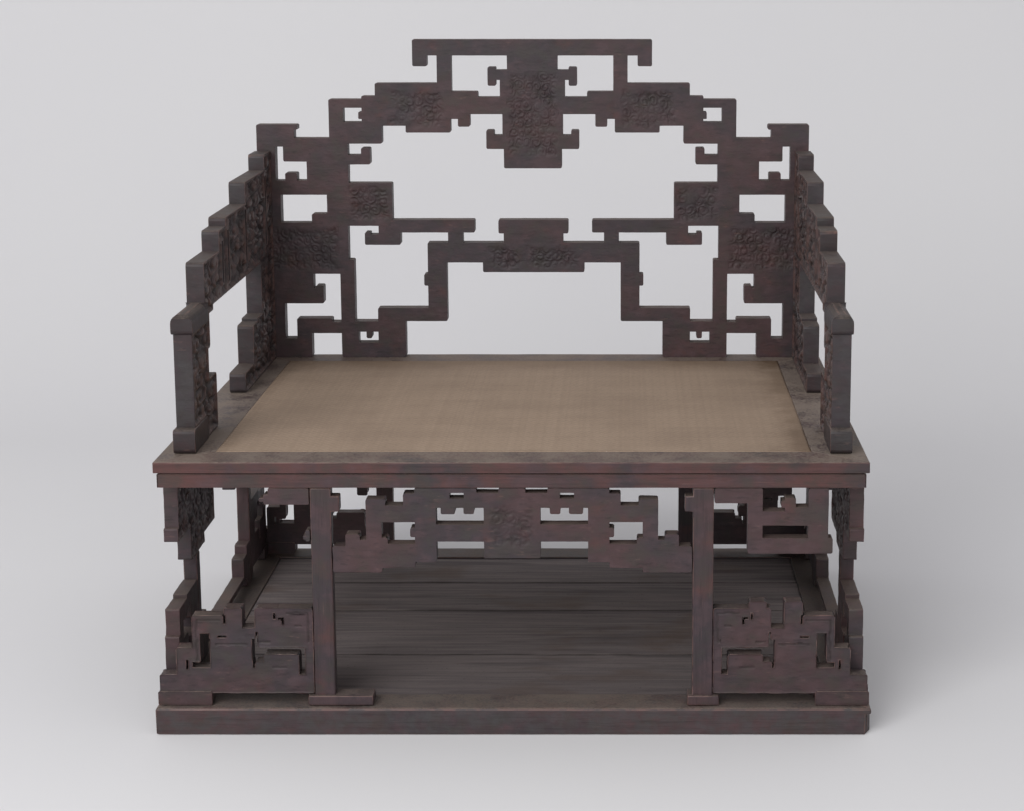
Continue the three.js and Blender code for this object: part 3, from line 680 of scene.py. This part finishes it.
def relief(node, spacing, pitch, deepest, margin, seed):
    """Long curls over a whole face, inside a plain border along its outline. The clefts are painted darker,
    with dirt and painted shade; the tops and the border lighter, rubbed and with painted highlight.
    """
    low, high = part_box(node)
    size = high - low
    middle = (low + high) / 2
    curls = Curls(size.y / 2, size.z, spacing, pitch, seed)

    def depth_at(across, up, border):
        spot = Vector((across, up, seed))
        cleft = Vector((across * 0.5 / spacing, up * 1.1 / spacing, seed))
        cleft = 1 - min(1.0, 3.5 * abs(noise.noise(cleft)))
        carved = 0.55 * curls.depth((abs(across) - abs(middle.y)) / 2, up - middle.z) + 0.45 * cleft
        carved *= soft_step(border, margin * 0.2, margin) * (0.85 + 0.6 * noise.noise(spot * 24))
        carved = min(1.0, max(0.0, carved))
        # Clefts are painted dark with dirt and painted shade; tops and border light with rubbing and
        # painted highlight.
        return deepest * carved + RELIEF_BORDER * soft_step(border, 0, margin), 1.7 * carved * carved - 0.55

    return depth_at


for end, outward in [("front", FRONT), ("rear", REAR)]:
    carved_fret(f"apron_{end}", outward, seed=11, worn=FRET_WORN)
    for side in ("left", "right"):
        carved_fret(f"apron_end_{end}_{side}", outward, seed=17, worn=FRET_WORN)
        node = f"lower_fret_{end}_{side}"
        carved_fret(node, outward, seed=23, worn=FRET_WORN, more=[(outward, lower_fret_wear(node))])
carved_fret("apron_scrap_front_left", FRONT, seed=5, worn=FRET_WORN)
for side, outward in [("left", LEFT), ("right", RIGHT)]:
    for end in ("front", "rear"):
        node = f"bracket_{side}_{end}"
        inside = relief(node, BRACKET_SPACING, BRACKET_PITCH, BRACKET_DEPTH, BRACKET_MARGIN, seed=29)
        carved_fret(node, outward, seed=29, worn=FRET_WORN, more=[(-outward, inside)])
        carved_fret(f"side_fret_{side}_{end}", outward, seed=31, worn=FRET_WORN)
    carved_fret(f"side_fret_{side}_middle", outward, seed=37, worn=FRET_WORN)


# Seat frame
# Four mitred hardwood rails, each moulded on its face: a lip above, a fine groove, and a flat band that
# stands back a little. The tops are rubbed smooth, and dust has settled along them, with painted sheen.
RAIL_EASE = 0.9 * MM
RAIL_SPACING = 25 * MM
RAIL_WORN = 0.6 * MM
RAIL_WEAR_TURNS = 20
seat_wood = {
    RIGHT: dark_wood("dark wood, seat from side to side", LEVEL_GRAIN, 0.22, dust_and_sheen_level=0.95),
    REAR: dark_wood("dark wood, seat from front to back", DEEP_GRAIN, 0.14, dust_and_sheen_level=1.3),
}
for side, axis in RAIL_RUNS:
    worn_stick(f"moulded_seat_rail_{side}", f"seat_rail_{side}", axis, seat_wood[axis],
               RAIL_EASE, RAIL_SPACING, RAIL_WORN, RAIL_WEAR_TURNS)


# Seat mat
# Split cane woven in a fine twill and let in flush with the frame. It sags a little, has greyed with use
# and is darker along its edges, from stains and painted shadow, most of all at the rear and on the right.
STRAND = 3.6 * MM
STRAND_RISE = 0.25 * MM
FIBRE_HEIGHT = 0.2 * MM
MAT_SAG = 2.5 * MM
CANE_LIGHT = paint(161, 141, 122)
CANE_MIDDLE = paint(148, 128, 110)
CANE_DARK = paint(113, 96, 83)
CANE_STAIN_AND_SHADOW = paint(96, 76, 58)


def cane_finish(low, high):
    """Woven cane: strands of slightly different colour, faded in the middle, darker near the edges from
    stains and painted shadow, and with painted shade on its lower strands.
    """
    finish, start = start_finish("woven cane")
    place = start.node("TexCoord", output="Object")
    strand = start.node("Attribute", {"attribute_name": "strand"}, output="Fac")
    hollow = start.node("Attribute", {"attribute_name": "hollow"}, output="Fac")
    x = start.node("SeparateXYZ", {}, {0: place}, output="X")
    y = start.node("SeparateXYZ", {}, {0: place}, output="Y")
    clouds = grain(place, (5, 7, 5), 4.0)
    stains = grain(place, (22, 22, 22), 4.0)
    fibres = grain(place, (260, 260, 100), 2.0)
    colour = tint(strand, CANE_MIDDLE, CANE_LIGHT)
    colour = tint(rise(clouds, 0.38, 0.72) * 0.3, colour, CANE_DARK)
    colour = tint(rise(fibres, 0.5, 0.7) * 0.25, colour, CANE_DARK)
    # Darker near the edges: stains and painted shadow.
    rear = rise(y + stains * 0.05, high.y - 0.09, high.y + 0.02)
    right = rise(x + stains * 0.09, high.x - 0.03, high.x + 0.06)
    left = rise(0 - x + stains * 0.09, -low.x, -low.x + 0.07)
    front = rise(0 - y + stains * 0.05, -low.y + 0.005, -low.y + 0.045)
    colour = tint((rear * 0.8 + right + left * 0.6 + front * 0.5) * 0.6, colour, CANE_STAIN_AND_SHADOW)
    # Painted shade on the lower strands of the weave.
    colour = tint(hollow * 0.22, colour, CANE_DARK)
    close_finish(start, colour, 0.8 + strand * 0.1, fibres, FIBRE_HEIGHT)
    return finish


def woven_mat(low, high):
    """The mat. Two strands cross at each vertex of its top."""
    size = high - low
    steps = [round(size.x / STRAND), round(size.y / STRAND)]
    bm = fine_top(low, high, steps)
    strand = bm.verts.layers.float.new("strand")
    hollow = bm.verts.layers.float.new("hollow")
    rng = random.Random(8)
    warp = [rng.random() for _ in range(steps[0] + 1)]
    weft = [rng.random() for _ in range(steps[1] + 1)]
    for vert in bm.verts:
        column = round((vert.co.x - low.x) / size.x * steps[0])
        row = round((vert.co.y - low.y) / size.y * steps[1])
        over = (column + row) // 2 % 2
        vert[strand] = warp[column] if over else weft[row]
        if vert.is_boundary:
            continue
        # The lower strand at each crossing is marked for painted shade.
        vert[hollow] = 1 - over
        x = 2 * (vert.co.x - low.x) / size.x - 1
        y = 2 * (vert.co.y - low.y) / size.y - 1
        sag = MAT_SAG * (1 - x * x) * (1 - y * y) * (0.8 + 0.5 * noise.noise(Vector((x * 2, y * 2, 4))))
        vert.co.z -= sag + STRAND_RISE * (1 - over)
    close_below(bm, low.z)
    return bm


mat_low, mat_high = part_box("seat_mat")
add_piece(woven_mat(mat_low, mat_high), "woven_seat_mat", cane_finish(mat_low, mat_high),
          "woven_mat", "seat_mat")


# Back screen
# A tall openwork screen of the same key fret, joined from many short members and tenoned into the rear
# rail. Tablets of worn curls hang below the crest, sit on both shoulders and fill the top of the low arch.
BACK_WORN = 0.5 * MM
# Each tablet's middle, across and up from the screen's foot, and its width and height, in mm.
BACK_TABLETS = [(0, 510, 108, 178), (0, 212, 200, 54), (240, 520, 118, 86), (340, 323, 92, 80),
                (478, 230, 148, 96)]
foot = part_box("back_screen")[0].z
areas = []
for u, v, width, height in BACK_TABLETS:
    for middle in {u, -u}:
        areas.append([(middle * MM - width * MM / 2, middle * MM + width * MM / 2),
                      (foot + v * MM - height * MM / 2, foot + v * MM + height * MM / 2)])
carved_fret("back_screen", FRONT, seed=41, worn=BACK_WORN, tablets=sorted(areas))


# Arm screens
# Each arm is a stepped screen that climbs from a post at the front to the back screen. Its inner face is
# deeply carved all over between narrow slits, and its post has a roller for a cap and another for a foot.
ARM_CORNER = 7 * MM
ARM_EASE = 6 * MM
ARM_LEDGE_EASE = 1.4 * MM
ARM_HALF = 19 * MM
ARM_POST_HALF = 16.2 * MM
CAP_HEIGHTS = (203 * MM, 238 * MM)
CAP_REAR = 126 * MM
CAP_RADIUS = 16 * MM
FOOT_HEIGHTS = (0, 42 * MM)
FOOT_REAR = 110 * MM
FOOT_RADIUS = 2.8 * MM
ARM_SPACING = 32 * MM
ARM_PITCH = 16 * MM
ARM_DEPTH = 9 * MM
ARM_MARGIN = 8 * MM
ROLLER_SHARES = (0.03, 0.12, 0.27, 0.47, 0.72, 1)
TOUCH = 0.05 * MM
arm_wood = dark_wood("dark wood, arms", CARVED_GRAIN, -0.04, dust_and_sheen_level=0.4, soot=0.65, age=0.6)


def shape_roller(bm, middle, rear, low, high, top_radius):
    """Rounds a block of the arm's post, so that it looks like a roller from the front.

    It is cut at those shares of its radii, which lie closer together where it curves most.
    """
    foot_radius = ARM_HALF - ARM_POST_HALF
    planes = [(REAR * rear, REAR)]
    for share in ROLLER_SHARES:
        planes += [(UP * (high - share * top_radius), UP), (UP * (low + share * foot_radius), UP)]
    for place, axis in planes:
        near = [vert for vert in bm.verts if vert.co.y < rear + MM and low - MM < vert.co.z < high + MM]
        touched = {face for vert in near for face in vert.link_faces}
        edges = {edge for face in touched for edge in face.edges}
        verts = {vert for face in touched for vert in face.verts}
        parts = [*verts, *edges, *touched]
        bmesh.ops.bisect_plane(bm, geom=parts, plane_co=place, plane_no=axis, dist=WELD)
    for vert in bm.verts:
        if vert.co.y > rear + TOUCH or not low - TOUCH < vert.co.z < high + TOUCH:
            continue
        top = min(1.0, max(0.0, 1 - (high - vert.co.z) / top_radius))
        foot = min(1.0, max(0.0, 1 - (vert.co.z - low) / foot_radius))
        reach = ARM_HALF - max(top_radius * (1 - math.sqrt(1 - top * top)),
                               foot_radius * (1 - math.sqrt(1 - foot * foot)))
        aside = vert.co.x - middle
        if abs(aside) > reach:
            vert.co.x = middle + math.copysign(reach, aside)


def side_depth(edge, outward):
    """How far the sides at an edge of a fret run from front to back."""
    spans = [[vert.co.dot(outward) for vert in face.verts] for face in edge.link_faces
             if abs(face.normal.dot(outward)) < 0.5]
    return min((max(span) - min(span) for span in spans), default=0)


def arm_screen(side, inward):
    """An arm with soft rounded edges, two rollers on its post and deep carving inside."""
    node = f"arm_screen_{side}"
    low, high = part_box(node)
    middle = (low.x + high.x) / 2
    bm = copy_of(node)
    plug_fields(bm, inward)
    round_corners(bm, inward, ARM_CORNER)
    rims = fret_rims(bm, inward)
    ledges = [edge for edge in rims if side_depth(edge, inward) < ARM_EASE]
    ease(bm, [edge for edge in rims if edge not in ledges], ARM_EASE, 3)
    ease(bm, [edge for edge in ledges if edge.is_valid], ARM_LEDGE_EASE)
    rollers = [(CAP_HEIGHTS, CAP_REAR, CAP_RADIUS), (FOOT_HEIGHTS, FOOT_REAR, FOOT_RADIUS)]
    for (foot, top), rear, radius in rollers:
        shape_roller(bm, middle, low.y + rear, low.z + foot, low.z + top, radius)
    carve_face(bm, inward, relief(node, ARM_SPACING, ARM_PITCH, ARM_DEPTH, ARM_MARGIN, seed=53))
    add_piece(bm, f"carved_{node}", arm_wood, "dark_wood", node)


arm_screen("left", RIGHT)
arm_screen("right", LEFT)


# Floor, light and camera
# A pale studio floor that curves up into a wall far behind, a broad soft light from the front left, a
# weaker one low in front, and the camera where the photographer stood.
FLOOR_FRONT = -9
FLOOR_REAR = 3.6
FLOOR_HALF_WIDTH = 9
WALL_HEIGHT = 6
COVE_RADIUS = 2
FLOOR_HEIGHT = 0.02 * MM
FLOOR_DARK = paint(214, 213, 216)
FLOOR_LIGHT = paint(220, 219, 219)


def studio_floor():
    """A sheet that is level in front and turns up into a wall."""
    bm = bmesh.new()
    corners = [(-FLOOR_HALF_WIDTH, FLOOR_FRONT, 0), (FLOOR_HALF_WIDTH, FLOOR_FRONT, 0),
               (FLOOR_HALF_WIDTH, FLOOR_REAR, 0), (-FLOOR_HALF_WIDTH, FLOOR_REAR, 0)]
    face = bm.faces.new([bm.verts.new(corner) for corner in corners])
    fold = max(face.edges, key=lambda edge: min(vert.co.y for vert in edge.verts))
    for part in bmesh.ops.extrude_edge_only(bm, edges=[fold])["geom"]:
        if isinstance(part, bmesh.types.BMVert):
            part.co.z = WALL_HEIGHT
    bmesh.ops.bevel(bm, geom=[fold], offset=COVE_RADIUS, offset_type="OFFSET", segments=24, profile=0.5,
                    affect="EDGES", clamp_overlap=False, material=-1)
    for face in bm.faces:
        face.smooth = True
    bmesh.ops.recalc_face_normals(bm, faces=bm.faces)
    mesh = bpy.data.meshes.new("studio floor")
    bm.to_mesh(mesh)
    bm.free()
    finish, start = start_finish("pale floor")
    place = start.node("TexCoord", output="Object")
    colour = tint(grain(place, (0.4, 0.4, 0.4), 2.0), FLOOR_DARK, FLOOR_LIGHT)
    close_finish(start, colour, 0.85, grain(place, (90, 90, 90)), FLOOR_HEIGHT)
    mesh.materials.append(finish)
    floor = bpy.data.objects.new("studio floor", mesh)
    bpy.context.scene.collection.objects.link(floor)


studio_floor()


def soft_light(name, place, target, size, power):
    """A square lamp that shines from one place towards another."""
    lamp = bpy.data.lights.new(name, "AREA")
    lamp.size = size
    lamp.energy = power
    light = bpy.data.objects.new(name, lamp)
    light.location = place
    light.rotation_euler = (Vector(target) - Vector(place)).to_track_quat("-Z", "Y").to_euler()
    bpy.context.scene.collection.objects.link(light)


soft_light("broad light", (-2.4, -4.6, 3.6), (0, 0, 0.5), 3.6, 230)
soft_light("low light", (0.6, -6.2, 1.3), (0, 0, 0.4), 3.0, 50)
sky = bpy.data.worlds.new("studio air")
sky.use_nodes = True
sky.node_tree.nodes["Background"].inputs["Color"].default_value = (0.98, 0.98, 1, 1)
sky.node_tree.nodes["Background"].inputs["Strength"].default_value = 0.64
bpy.context.scene.world = sky
bpy.context.scene.view_settings.view_transform = "Standard"

CAMERA_PLACE = (0.189, -3.652, 1.319)
CAMERA_DOWN = math.radians(9.83)
CAMERA_LENS = 69.43
CAMERA_SHIFT = (-0.1097, -0.11)
lens = bpy.data.cameras.new("camera")
lens.sensor_width = 36
lens.lens = CAMERA_LENS
lens.shift_x, lens.shift_y = CAMERA_SHIFT
camera = bpy.data.objects.new("camera", lens)
camera.location = CAMERA_PLACE
camera.rotation_euler = (math.radians(90) - CAMERA_DOWN, 0, 0)
bpy.context.scene.collection.objects.link(camera)
bpy.context.scene.camera = camera
